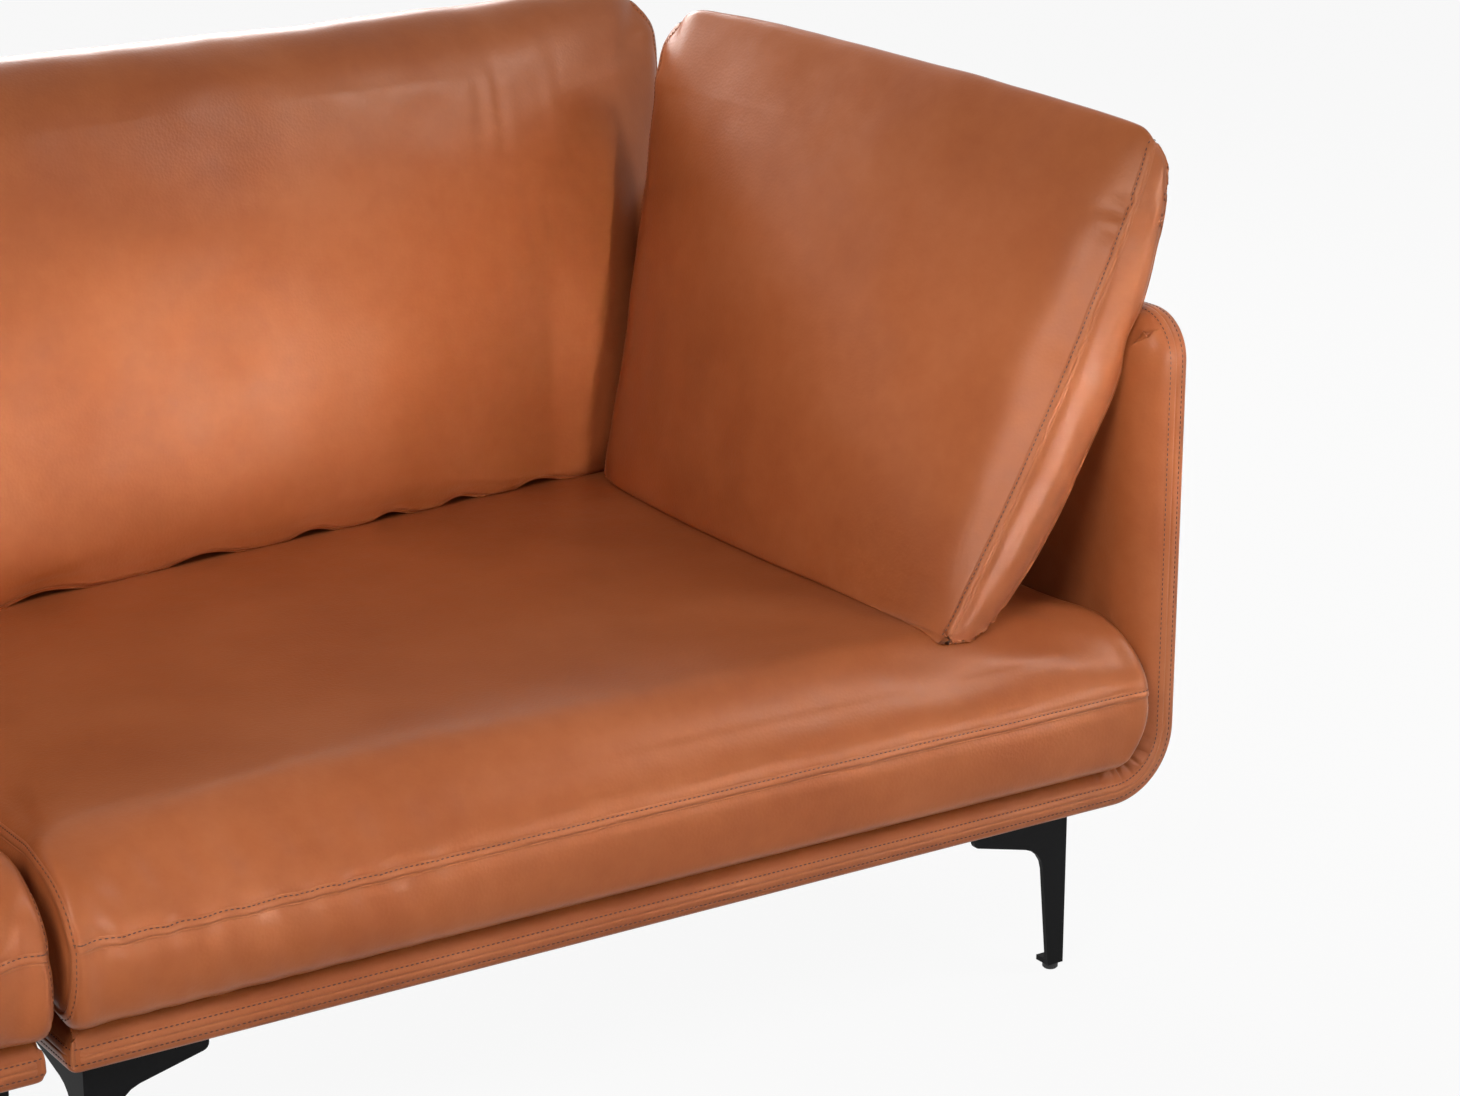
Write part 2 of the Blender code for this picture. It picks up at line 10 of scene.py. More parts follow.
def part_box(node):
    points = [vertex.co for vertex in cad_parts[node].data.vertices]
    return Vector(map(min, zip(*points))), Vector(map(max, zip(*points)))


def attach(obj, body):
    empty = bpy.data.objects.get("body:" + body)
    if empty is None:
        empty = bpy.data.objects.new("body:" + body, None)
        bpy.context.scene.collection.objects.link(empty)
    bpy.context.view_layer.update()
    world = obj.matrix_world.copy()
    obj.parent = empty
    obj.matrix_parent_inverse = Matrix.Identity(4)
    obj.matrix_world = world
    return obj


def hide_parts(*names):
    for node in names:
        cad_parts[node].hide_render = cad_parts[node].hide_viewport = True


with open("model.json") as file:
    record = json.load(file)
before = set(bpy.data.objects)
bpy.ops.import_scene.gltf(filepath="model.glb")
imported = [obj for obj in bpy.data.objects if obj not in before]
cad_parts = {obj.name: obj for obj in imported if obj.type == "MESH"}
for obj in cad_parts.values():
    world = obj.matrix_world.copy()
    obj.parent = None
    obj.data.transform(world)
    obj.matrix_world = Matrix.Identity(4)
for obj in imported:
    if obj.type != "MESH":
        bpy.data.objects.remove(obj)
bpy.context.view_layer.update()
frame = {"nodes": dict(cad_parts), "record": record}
bpy.ops.object.select_all(action="DESELECT")
print("frame loaded,", len(frame["nodes"]), "nodes")

scene = bpy.context.scene
scene.view_settings.view_transform = "Standard"
corner = Vector(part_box("tray_right")[0])  # front, inner, lower corner of the right-hand module


# Colours and nodes

def hexColor(code):
    parts = [int(code[i:i + 2], 16) / 255 for i in (1, 3, 5)]
    return [c / 12.92 if c <= 0.04045 else ((c + 0.055) / 1.055) ** 2.4 for c in parts] + [1.0]


def newMaterial(name):
    material = bpy.data.materials.new(name)
    material.use_nodes = True
    return material


def addNode(material, kind, settings, links=None):
    nodes = material.node_tree.nodes
    node = nodes[kind] if kind in nodes else nodes.new(kind)
    for name, value in settings.items():
        if isinstance(name, int) or name in node.inputs:
            node.inputs[name].default_value = value
        else:
            setattr(node, name, value)
    for name, socket in (links or {}).items():
        material.node_tree.links.new(socket, node.inputs[name])
    return node


# Corrected-grain cowhide with a satin aniline finish: warm uneven brown, fine pebble, soft warm sheen.
# The real pebble is about 1 mm, drawn coarser so that it shows at this distance
leatherLook = {"deep": "#9A522C", "base": "#A35A32", "pale": "#AB623A", "tones": (0.42, 0.62, 0.82),
               "patch": 0.17, "cloud": 0.018, "cloudShare": 0.25, "grain": 0.0030, "grainHeight": 0.00028,
               "rough": (0.31, 0.39), "shine": 0.29, "gloss": "#FFE0CC"}


def leatherMaterial(name, look):
    material = newMaterial(name)
    place = addNode(material, "ShaderNodeTexCoord", {}).outputs["Object"]
    patches = addNode(material, "ShaderNodeTexNoise",
                      {"Scale": 1 / look["patch"], "Detail": 4, "Roughness": 0.55}, {"Vector": place})
    clouds = addNode(material, "ShaderNodeTexNoise",
                     {"Scale": 1 / look["cloud"], "Detail": 3, "Roughness": 0.6}, {"Vector": place})
    both = addNode(material, "ShaderNodeMath", {"operation": "MULTIPLY_ADD", 1: look["cloudShare"]},
                   {0: clouds.outputs["Fac"], 2: patches.outputs["Fac"]})
    tones = addNode(material, "ShaderNodeValToRGB", {}, {"Fac": both.outputs[0]})
    ramp = tones.color_ramp.elements
    ramp[0].position, ramp[0].color = look["tones"][0], hexColor(look["deep"])
    ramp[1].position, ramp[1].color = look["tones"][2], hexColor(look["pale"])
    ramp.new(look["tones"][1]).color = hexColor(look["base"])
    pebble = addNode(material, "ShaderNodeTexVoronoi", {"Scale": 1 / look["grain"], "Randomness": 1.0},
                     {"Vector": place})
    rough = addNode(material, "ShaderNodeMapRange",
                    {"From Min": 0.3, "From Max": 0.7,
                     "To Min": look["rough"][0], "To Max": look["rough"][1]},
                    {"Value": clouds.outputs["Fac"]})
    bump = addNode(material, "ShaderNodeBump", {"Strength": 0.35, "Distance": look["grainHeight"]},
                   {"Height": pebble.outputs["Distance"]})
    addNode(material, "Principled BSDF",
            {"IOR": 1.5, "Specular IOR Level": look["shine"], "Specular Tint": hexColor(look["gloss"])},
            {"Base Color": tones.outputs["Color"], "Roughness": rough.outputs["Result"],
             "Normal": bump.outputs["Normal"]})
    return material


leather = leatherMaterial("aniline_cowhide", leatherLook)
# the same hide rubbed a little paler over the seams, and a dark leather that paints the shade into their
# folds
seamLeather = leatherMaterial("aniline_cowhide_rubbed",
                              {**leatherLook, "base": "#A86039", "deep": "#A05832", "pale": "#B06841"})
# painted shade: a dark leather laid in the seam grooves where shade falls
seamShade = leatherMaterial("aniline_cowhide_painted_groove_shade",
                            {**leatherLook, "base": "#582A18", "deep": "#4C2313", "pale": "#64311D",
                             "rough": (0.6, 0.7)})


# Two tones of one pattern, and a bump (strength, height) from it where the finish has a texture
def twoTone(material, pattern, look):
    tones = addNode(material, "ShaderNodeValToRGB", {}, {"Fac": pattern})
    tones.color_ramp.elements[0].color = hexColor(look["dark"])
    tones.color_ramp.elements[1].color = hexColor(look["light"])
    links = {"Base Color": tones.outputs["Color"]}
    if "bump" in look:
        strength, height = look["bump"]
        bump = addNode(material, "ShaderNodeBump", {"Strength": strength, "Distance": height},
                       {"Height": pattern})
        links["Normal"] = bump.outputs["Normal"]
    addNode(material, "Principled BSDF", look["sockets"], links)
    return material


def speckled(name, look):
    material = newMaterial(name)
    place = addNode(material, "ShaderNodeTexCoord", {}).outputs["Object"]
    specks = addNode(material, "ShaderNodeTexNoise", {"Scale": 1 / look["speck"], "Detail": look["detail"]},
                     {"Vector": place})
    return twoTone(material, specks.outputs["Fac"], look)


# Bonded polyester thread, darker than the hide: twisted strands break up each stitch
thread = speckled("bonded_polyester_thread",
                  {"dark": "#3E1A0C", "light": "#6E3419", "speck": 0.0012, "detail": 1,
                   "sockets": {"Roughness": 0.55}})

# Powder-coated steel: black, satin, a faint orange peel
powderCoat = speckled("powder_coated_steel",
                      {"dark": "#09090A", "light": "#111112", "speck": 0.0022, "detail": 2,
                       "bump": (0.2, 0.00008), "sockets": {"Roughness": 0.5, "Specular IOR Level": 0.10}})

# Moulded polyamide: dull black with a fine spark-eroded texture
polyamide = speckled("moulded_polyamide",
                     {"dark": "#161616", "light": "#222222", "speck": 0.0009, "detail": 2,
                      "bump": (0.3, 0.0001), "sockets": {"Roughness": 0.6}})

waveTurn = 20  # radians that a wave texture turns through in one unit


# The scale at which the bands of a wave texture lie this far apart
def bandScale(pitch):
    return 2 * math.pi / waveTurn / pitch


def timber(name, look):
    material = newMaterial(name)
    place = addNode(material, "ShaderNodeTexCoord", {}).outputs["Object"]
    drawn = addNode(material, "ShaderNodeMapping", {"Scale": look["drawn"]}, {"Vector": place})
    rings = addNode(material, "ShaderNodeTexWave",
                    {"Scale": bandScale(look["rings"]), "Distortion": 4, "Detail": 3, "bands_direction": "Y"},
                    {"Vector": drawn.outputs["Vector"]})
    return twoTone(material, rings.outputs["Fac"], look)


def woven(name, look):
    material = newMaterial(name)
    place = addNode(material, "ShaderNodeTexCoord", {}).outputs["Object"]
    warp, weft = [addNode(material, "ShaderNodeTexWave",
                          {"Scale": bandScale(look["pitch"]), "bands_direction": way}, {"Vector": place})
                  for way in "XY"]
    weave = addNode(material, "ShaderNodeMath", {"operation": "MULTIPLY"},
                    {0: warp.outputs["Fac"], 1: weft.outputs["Fac"]})
    return twoTone(material, weave.outputs[0], look)


# Planed pine and plywood: pale, growth rings drawn out along the length
pine = timber("planed_pine", {"dark": "#B48A58", "light": "#D6B684", "rings": 0.012,
                              "drawn": (0.08, 1.0, 1.0), "bump": (0.2, 0.0002),
                              "sockets": {"Roughness": 0.68}})

# Elastic webbing: dull dark threads 3 mm apart
webbing = woven("elastic_webbing_weave", {"dark": "#2A2724", "light": "#4A4641", "pitch": 0.003,
                                          "bump": (0.5, 0.0004), "sockets": {"Roughness": 0.9}})

# Non-woven dust cover: nearly black, with bonded dots a little closer
dustCloth = woven("nonwoven_dust_cover", {"dark": "#161514", "light": "#2A2826", "pitch": 0.0024,
                                          "bump": (0.5, 0.0002), "sockets": {"Roughness": 0.9}})
print("materials ready")


# Mesh helpers

def between(value):
    return min(max(value, 0.0), 1.0)


# 1 at the start, 0 from the reach on
def fading(away, reach):
    return max(0.0, 1 - away / reach)


# Marks along a line, from runs of (low, high, cells)
def stations(*runs):
    marks = [runs[0][0]]
    for low, high, count in runs:
        marks += [low + (high - low) * (n + 1) / count for n in range(count)]
    return marks


def pick(piece):
    bpy.ops.object.select_all(action="DESELECT")
    piece.select_set(True)
    bpy.context.view_layer.objects.active = piece


# A cube cut into whole cells; each vertex then holds its own cell number
def gridBlock(name, cells):
    bpy.ops.object.select_all(action="DESELECT")
    bpy.ops.mesh.primitive_cube_add(size=1, location=[n / 2 for n in cells])
    block = bpy.context.object
    block.name = block.data.name = name
    block.scale = cells
    bpy.ops.object.transform_apply(location=True, rotation=True, scale=True)
    bpy.ops.object.mode_set(mode="EDIT")
    bpy.ops.mesh.select_mode(type="EDGE")
    for axis, count in enumerate(cells):
        bpy.ops.mesh.select_all(action="DESELECT")
        cage = bmesh.from_edit_mesh(block.data)
        for edge in cage.edges:
            edge.select_set(abs(edge.verts[0].co[axis] - edge.verts[1].co[axis]) > 0.5)
        bmesh.update_edit_mesh(block.data)
        bpy.ops.mesh.subdivide(number_cuts=count - 1)
    bpy.ops.object.mode_set(mode="OBJECT")
    return block


def shapeBlock(block, place):
    cells = [tuple(round(c) for c in v.co) for v in block.data.vertices]
    for vertex, cell in zip(block.data.vertices, cells):
        vertex.co = place(*cell)
    return cells


def smoothOut(piece):
    pick(piece)
    rounding = piece.modifiers.new("rounding", "SUBSURF")
    rounding.levels = rounding.render_levels = 1
    bpy.ops.object.modifier_apply(modifier=rounding.name)
    bpy.ops.object.shade_smooth()


# Each move becomes the mean of its own and its neighbours'
def evened(mesh, moves):
    sums = [move.copy() for move in moves]
    counts = [1] * len(moves)
    for edge in mesh.edges:
        a, b = edge.vertices
        sums[a] += moves[b]
        sums[b] += moves[a]
        counts[a] += 1
        counts[b] += 1
    return [total / count for total, count in zip(sums, counts)]


# Settings of Blender's cloth for supple upholstery leather
hide = {"quality": 4, "mass": 0.4, "tension_stiffness": 25, "compression_stiffness": 25,
        "shear_stiffness": 12}


# The cover is blown up a little, so that it draws tight between its seams
def inflate(piece, air, held=()):
    before = [v.co.copy() for v in piece.data.vertices]
    group = piece.vertex_groups.new(name="held")
    if held:
        group.add(held, 1.0, "REPLACE")
    pick(piece)
    cover = piece.modifiers.new("cover", "CLOTH")
    for name, value in hide.items():
        setattr(cover.settings, name, value)
    cover.settings.bending_stiffness = air["stiff"]
    cover.settings.use_pressure = True
    cover.settings.uniform_pressure_force = air["pressure"]
    cover.settings.shrink_min = -air["slack"]
    cover.settings.vertex_group_mass = group.name
    cover.settings.effector_weights.gravity = 0
    cover.point_cache.frame_end = air["frames"]
    for number in range(1, air["frames"] + 1):
        scene.frame_set(number)
    bpy.ops.object.modifier_apply(modifier=cover.name)
    scene.frame_set(1)
    moves = [vertex.co - old for vertex, old in zip(piece.data.vertices, before)]
    for _ in range(air["calm"]):
        moves = evened(piece.data, moves)
    for vertex, old, move in zip(piece.data.vertices, before, moves):
        if move.length > 1e-9:
            move *= air["cap"] * math.tanh(move.length / air["cap"]) / move.length
        vertex.co = old + move
    piece.vertex_groups.clear()


# Puckers come in patches, at a beat that strays
puckers = {"step": 0.003, "patch": 0.11, "least": 0.3, "most": 1.4, "pace": 5.1, "stray": 9, "drift": 0.09}


# The seam pulls the cover in, and the leather beside it puckers
def drawIn(piece, path, pull):
    points = evenly(path, puckers["step"])
    tree = KDTree(len(points))
    for n, point in enumerate(points):
        tree.insert(point, n)
    tree.balance()
    reach = pull["length"] * 2
    normals = [v.normal.copy() for v in piece.data.vertices]
    for vertex, normal in zip(piece.data.vertices, normals):
        _, n, away = tree.find(vertex.co)
        if away > reach:
            continue
        run = n * puckers["step"]
        patch = noise.noise((run / puckers["patch"], pull["seed"], 0.0))
        stray = puckers["stray"] * noise.noise((run / puckers["drift"], pull["seed"], 3.0))
        beat = max(0.0, puckers["least"] + puckers["most"] * patch)
        beat *= 0.5 + 0.5 * math.sin(run / pull["beat"] * puckers["pace"] + stray)
        groove = pull["depth"] * math.exp(-(away / pull["width"]) ** 2)
        fade = (1 - away / reach) ** 2
        ripple = pull["pucker"] * beat * fade * (away / pull["width"]) * math.exp(-away / pull["length"])
        vertex.co -= normal * (groove + ripple)


# The modules meet at the sofa's middle: a soft end flattens there and never passes it
middleGap = {"half": 0.0025, "soft": 0.006}


def ownSide(x):
    limit, soft = middleGap["half"] - corner.x, middleGap["soft"]
    return x if x > limit + soft else limit + soft * math.exp((x - limit) / soft - 1)


def surfaceOf(piece):
    mesh = piece.data
    return BVHTree.FromPolygons([v.co for v in mesh.vertices], [p.vertices for p in mesh.polygons])


def rowOf(piece, table, keys):
    return [piece.data.vertices[table[key]].co.copy() for key in keys]


def evenly(path, step):
    run = [0.0]
    for a, b in zip(path, path[1:]):
        run.append(run[-1] + (b - a).length)
    count = max(2, round(run[-1] / step))
    points, at = [], 0
    for n in range(count + 1):
        want = run[-1] * n / count
        while at < len(run) - 2 and run[at + 1] < want:
            at += 1
        share = (want - run[at]) / max(run[at + 1] - run[at], 1e-9)
        points.append(path[at].lerp(path[at + 1], between(share)))
    return points


def softened(path, rounds):
    for _ in range(rounds):
        path = [path[0]] + [(a + 2 * b + c) / 4 for a, b, c in zip(path, path[1:], path[2:])] + [path[-1]]
    return path


# Along a path on a surface: the point there, the way along, the way across and the way out
def trackOn(surface, path, step):
    points = evenly(path, step)
    track = []
    for n, point in enumerate(points):
        spot, out, _, _ = surface.find_nearest(point)
        ahead = (points[min(n + 1, len(points) - 1)] - points[max(n - 1, 0)]).normalized()
        across = out.cross(ahead).normalized()
        track.append((spot, ahead, across, out))
    return track


# The side of the path on which the cushion's middle lies, judged a quarter of the way along
def faceSide(surface, path, middle):
    track = trackOn(surface, path, 0.02)
    spot, _, across, _ = track[len(track) // 4]
    return 1 if across.dot(middle - spot) > 0 else -1


def meshPiece(name, vertices, faces):
    mesh = bpy.data.meshes.new(name)
    mesh.from_pydata(vertices, [], faces)
    piece = bpy.data.objects.new(name, mesh)
    bpy.context.collection.objects.link(piece)
    for polygon in mesh.polygons:
        polygon.use_smooth = True
    return piece


# A seam's feet stand in the hide, and its ends dip under it over a few steps, short of a panel's end
seamLook = {"step": 0.004, "foot": 0.0015, "dip": 0.0008, "dipSteps": 2, "short": 0.004}


# A sewn seam: the cross-section (offset, height) is carried along the path and laid on the surface.
# The faces between the points of fold take the second material, the painted shade of the groove
def sewSeam(name, surface, path, section, fold, step=seamLook["step"], side=1):
    if side < 0:
        section = [(-offset, height) for offset, height in reversed(section)]
        fold = (len(section) - 1 - fold[1], len(section) - 1 - fold[0])
    track = trackOn(surface, path, step)
    vertices, faces = [], []
    ring = len(section) + 2
    for n, (spot, _, across, _) in enumerate(track):
        fade = min(1.0, n / seamLook["dipSteps"], (len(track) - 1 - n) / seamLook["dipSteps"])
        row = []
        for offset, height in section:
            place, way, _, _ = surface.find_nearest(spot + across * offset)
            row.append(place + way * (height * fade - seamLook["dip"] * (1 - fade)))
        feet = [end - surface.find_nearest(end)[1] * seamLook["foot"] for end in (row[-1], row[0])]
        vertices += row + feet
    for n in range(len(track) - 1):
        for r in range(ring):
            a, b = n * ring + r, n * ring + (r + 1) % ring
            faces.append((a, b, b + ring, a + ring))
    last = (len(track) - 1) * ring
    faces += [tuple(reversed(range(ring))), tuple(range(last, last + ring))]
    piece = meshPiece(name, vertices, faces)
    body = bmesh.new()
    body.from_mesh(piece.data)
    bmesh.ops.recalc_face_normals(body, faces=body.faces)
    body.to_mesh(piece.data)
    body.free()
    for polygon in piece.data.polygons:
        low = min(v % ring for v in polygon.vertices)
        high = max(v % ring for v in polygon.vertices)
        polygon.material_index = int(fold[0] <= low and high <= fold[1] and high - low == 1)
    return piece


# One stitch, modelled once and copied along every row
stitchLook = {"pitch": 0.0048, "length": 0.0034, "width": 0.0013, "height": 0.0010}


def stitchShape():
    bpy.ops.object.select_all(action="DESELECT")
    bpy.ops.mesh.primitive_uv_sphere_add(segments=6, ring_count=4, radius=0.5)
    ball = bpy.context.object
    bpy.ops.object.mode_set(mode="EDIT")
    bpy.ops.mesh.select_all(action="SELECT")
    bpy.ops.transform.rotate(value=math.pi / 2, orient_axis="Y", center_override=(0, 0, 0))
    bpy.ops.transform.resize(value=(stitchLook["length"], stitchLook["width"], stitchLook["height"]))
    bpy.ops.object.mode_set(mode="OBJECT")
    points = [v.co.copy() for v in ball.data.vertices]
    sides = [tuple(p.vertices) for p in ball.data.polygons]
    bpy.data.objects.remove(ball)
    return points, sides


stitchPoints, stitchSides = stitchShape()


# Stitching in rows of (path, offset from it, height)
def sewRows(name, surface, rows):
    vertices, faces = [], []
    for path, offset, height in rows:
        for spot, ahead, across, _ in trackOn(surface, path, stitchLook["pitch"]):
            place, way, _, _ = surface.find_nearest(spot + across * offset)
            turn = Matrix((ahead, way.cross(ahead).normalized(), way)).transposed()
            start = len(vertices)
            vertices += [place + way * height + turn @ p for p in stitchPoints]
            faces += [tuple(start + i for i in side) for side in stitchSides]
    return meshPiece(name, vertices, faces)


def joinAll(pieces):
    pick(pieces[0])
    for piece in pieces[1:]:
        piece.select_set(True)
    bpy.ops.object.join()
    return pieces[0]


# Dresses a right-hand piece and its mirror image on the left
def dressPair(piece, name, finishes, body, node=None):
    piece.name = piece.data.name = f"{name}_right_visual"
    piece.data.materials.clear()
    for finish in finishes:
        piece.data.materials.append(finish)
    other = piece.copy()
    other.data = piece.data.copy()
    other.name = other.data.name = f"{name}_left_visual"
    other.data.transform(Matrix.Diagonal((-1, 1, 1, 1)))
    other.data.flip_normals()
    bpy.context.collection.objects.link(other)
    for side, made in (("right", piece), ("left", other)):
        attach(made, body.format(side=side))
        if node:
            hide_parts(f"{node}_{side}")


# A cover that stands for its CAD node, with its seams and stitching
def dressCover(name, body, cover, seams, rows):
    dressPair(cover, name, [leather], body, name)
    dressPair(seams, f"{name}_seams", [seamLeather, seamShade], body)
    dressPair(rows, f"{name}_stitching", [thread], body)
    print(name, "sewn")


# Cross-sections of seams in (offset, height), and the points between which the groove's painted shade shows

# centre groove with a row of stitching on each side of it
doubleSeam = [(-0.0090, -0.0004), (-0.0078, 0.0004), (-0.0066, 0.0002), (-0.0054, 0.0007), (-0.0020, 0.0013),
              (-0.0007, 0.0010), (0.0, 0.0001), (0.0007, 0.0010), (0.0020, 0.0013), (0.0054, 0.0007),
              (0.0066, 0.0002), (0.0078, 0.0004), (0.0090, -0.0004)]
# one side lapped over the other and top-stitched
lapSeam = [(-0.0026, -0.0004), (-0.0016, 0.0004), (-0.0007, 0.0003), (0.0, 0.0), (0.0006, 0.0013),
           (0.0018, 0.0017), (0.0050, 0.0009), (0.0064, 0.0003), (0.0078, 0.0006), (0.0092, -0.0004)]
# a folded ridge where two panels meet at a corner
ridgeSeam = [(-0.0030, -0.0005), (-0.0018, 0.0008), (-0.0006, 0.0022), (0.0006, 0.0022), (0.0018, 0.0008),
             (0.0030, -0.0005)]
# the lip along the foot of the back cushion
lipSeam = [(-0.0034, -0.0006), (-0.0018, 0.0022), (-0.0006, 0.0036), (0.0006, 0.0036), (0.0018, 0.0018),
           (0.0030, -0.0006)]
doubleFold, lapFold, openFold, plainFold = (5, 7), (2, 4), (1, 4), (9, 9)
doubleRow = {"offset": 0.0066, "height": 0.0005}
lapRow = {"offset": 0.0064, "height": 0.0006}


def doubleRows(*paths):
    return [(path, sign * doubleRow["offset"], doubleRow["height"]) for path in paths for sign in (1, -1)]


# Lapped seams and their stitching along (path, side) pairs
def sewLaps(surface, laps, fold):
    seams = [sewSeam("lap", surface, path, lapSeam, fold, side=side) for path, side in laps]
    rows = [(path, side * lapRow["offset"], lapRow["height"]) for path, side in laps]
    return seams, sewRows("lapRows", surface, rows)


# Padded panels: u and v run over the face and t through the thickness

# A soft roll on the face side of the seam, a crisp edge on the other
def rollEdge(near, t, panel):
    seam, thick, crisp = panel["seam"], panel["thickness"], panel["crisp"]
    for wide, high, start, sign in ((panel["soft"], thick - seam, seam, 1), (crisp, crisp, crisp, -1)):
        a, b = 1 - near / wide, sign * (t - start) / high
        if a > 0 and b > 0:
            share = max(a, b) / math.hypot(a, b)
            near = wide - wide * a * share
            t = start + sign * high * b * share
            break
    weight = fading(near, panel["soft"]) ** 2
    if t > seam:
        near -= panel["puff"] * math.sin(math.pi * (t - seam) / (thick - seam)) * weight
    else:
        near -= panel["underShare"] * panel["puff"] * math.sin(math.pi * t / seam) * weight
    return near, t


def roundCorner(a, b):
    if a > 0 and b > 0:
        share = max(a, b) / math.hypot(a, b)
        return a * share, b * share
    return a, b


# Base slab, bend and arm in one: u runs along the base and up the arm, v from front to rear
tray = {"length": 1.55596, "depth": 0.797, "thickness": 0.048, "soft": 0.052, "crisp": 0.006, "seam": 0.0150,
        "puff": 0.0012, "underShare": 0.25, "corner": 0.045, "endCorner": 0.008, "strip": 0.1,
        "bendStart": 1.05, "bendRadius": 0.070, "rearStep": 0.0225, "rearStart": 0.84463, "lean": 7.0,
        "pleats": 6, "pleatDepth": 0.0050, "pleatFull": 1.4, "pleatRun": 0.06, "pleatClear": 0.003,
        "pleatRise": 0.010, "pleatOver": 0.35, "pleatFade": 0.4, "pleatSway": 0.9, "pleatSways": 4,
        "recess": 0.004, "rim": 0.0165, "recessArm": 0.02, "recessRear": 0.012, "fill": 0.9,
        "endSeam": 0.78, "cornerFold": (0.003, 0.034), "armLine": 0.030, "armLineEnd": 0.85}
tray["bendEnd"] = tray["bendStart"] + tray["bendRadius"] * math.pi / 2


def trayRear(u):
    if u < tray["bendStart"] + tray["rearStep"]:
        return tray["depth"]
    if u < tray["bendEnd"]:
        rise = tray["bendRadius"] * (1 - math.cos((u - tray["bendStart"]) / tray["bendRadius"]))
    else:
        rise = tray["bendRadius"] + u - tray["bendEnd"]
    return tray["rearStart"] + rise * math.tan(math.radians(tray["lean"]))


def trayPoint(u, v, t):
    length = tray["length"]
    near = min(v, u, length - u)
    rolled, thick = rollEdge(near, t, tray)
    shift = rolled - near
    atFront, atEnd, atTop = v - near < 1e-6, u - near < 1e-6, length - u - near < 1e-6
    gathered = between(tray["pleatFull"] - v / tray["pleatRun"])
    gathered *= between((thick - tray["seam"] - tray["pleatClear"]) / tray["pleatRise"])
    v += shift * atFront
    u += shift * atEnd - shift * atTop
    radius = tray["corner"]
    a, b = roundCorner(u - length + radius, radius - v)
    u, v = length - radius + a, radius - b
    radius = tray["endCorner"]
    a, b = roundCorner(radius - u, radius - v)
    u, v = radius - a, radius - b
    start, end, radius = tray["bendStart"], tray["bendEnd"], tray["bendRadius"]
    angle = (u - start) / radius
    turn, over = angle / (math.pi / 2), tray["pleatOver"]
    if -over < turn < 1 + over:  # leather gathered on the inside of the bend
        window = min(1.0, (turn + over) / tray["pleatFade"], (1 + over - turn) / tray["pleatFade"])
        sway = tray["pleatSway"] * math.sin(tray["pleatSways"] * turn)
        wave = math.sin(math.pi * tray["pleats"] * turn + sway)
        thick -= tray["pleatDepth"] * (1 - abs(wave)) ** 2 * window * gathered
    if u >= end:
        spot = Vector((start + radius - thick, v, radius + u - end))
    elif u > start:
        reach = radius - thick
        spot = Vector((start + reach * math.sin(angle), v, radius - reach * math.cos(angle)))
    else:
        spot = Vector((u, v, thick))
    return corner + spot


# marks along each way, close together at the rim and in the bend
rimRun = [0.0, 0.003, 0.007, 0.012, 0.0165, 0.0175, 0.023, 0.030]
trayU = rimRun + stations((0.030, 1.010, 22), (1.010, 1.190, 52), (1.190, tray["length"] - 0.050, 9),
                          (tray["length"] - 0.050, tray["length"], 10))[1:]
trayV = rimRun + stations((0.030, tray["strip"], 7), (tray["strip"], tray["depth"], 16))[1:]
trayT = [0.0, 0.003, 0.006, 0.0105, 0.015, 0.0195, 0.025, 0.031, 0.037, 0.043, 0.048]


def trayCell(i, j, k):
    u, v, t = trayU[i], trayV[j], trayT[k]
    far, strip = trayRear(u), tray["strip"]
    if v > strip:
        v = strip + (v - strip) * (far - strip) / (tray["depth"] - strip)
    inside = tray["rim"] < min(u, v) and u < tray["bendStart"] - tray["recessArm"]
    if k == 0 and inside and v < far - tray["recessRear"]:
        t = tray["recess"]  # room for the dust cover
    return trayPoint(u, v, t)


trayPiece = gridBlock("tray", (len(trayU) - 1, len(trayV) - 1, len(trayT) - 1))
shapeBlock(trayPiece, trayCell)
smoothOut(trayPiece)
traySurface = surfaceOf(trayPiece)
print("tray shaped")

length, seam, short = tray["length"], tray["seam"], seamLook["short"]
rimPath = [trayPoint(u, 0.0, seam) for u in stations((short, length, 400))]
rimPath += [trayPoint(length, v, seam) for v in stations((0.0, trayRear(length) - short, 200))]
endPath = [trayPoint(0.0, v, seam) for v in stations((short, tray["endSeam"], 200))]
cornerPath = [trayPoint(0.0, 0.0, t) for t in stations((*tray["cornerFold"], 30))]
armPath = [trayPoint(length - tray["armLine"], v, tray["thickness"])
           for v in stations((tray["armLine"], tray["armLineEnd"], 200))]
traySeams = joinAll([sewSeam("rim", traySurface, rimPath, doubleSeam, doubleFold),
                     sewSeam("end", traySurface, endPath, doubleSeam, doubleFold),
                     sewSeam("cornerFold", traySurface, cornerPath, ridgeSeam, plainFold, 0.003),
                     sewSeam("armLine", traySurface, armPath, ridgeSeam, plainFold)])
trayRows = sewRows("trayRows", traySurface, doubleRows(rimPath, endPath))
dressCover("tray", "frame", trayPiece, traySeams, trayRows)

# Back panel: u runs across, v up
back = {"width": 1.0722, "height": 0.53902, "thickness": 0.050, "soft": 0.045, "crisp": 0.006, "seam": 0.0170,
        "puff": 0.0012, "underShare": 0.25, "corner": 0.045, "depth": 0.795, "lift": 0.00609, "lean": 7.0,
        "fill": 0.9}


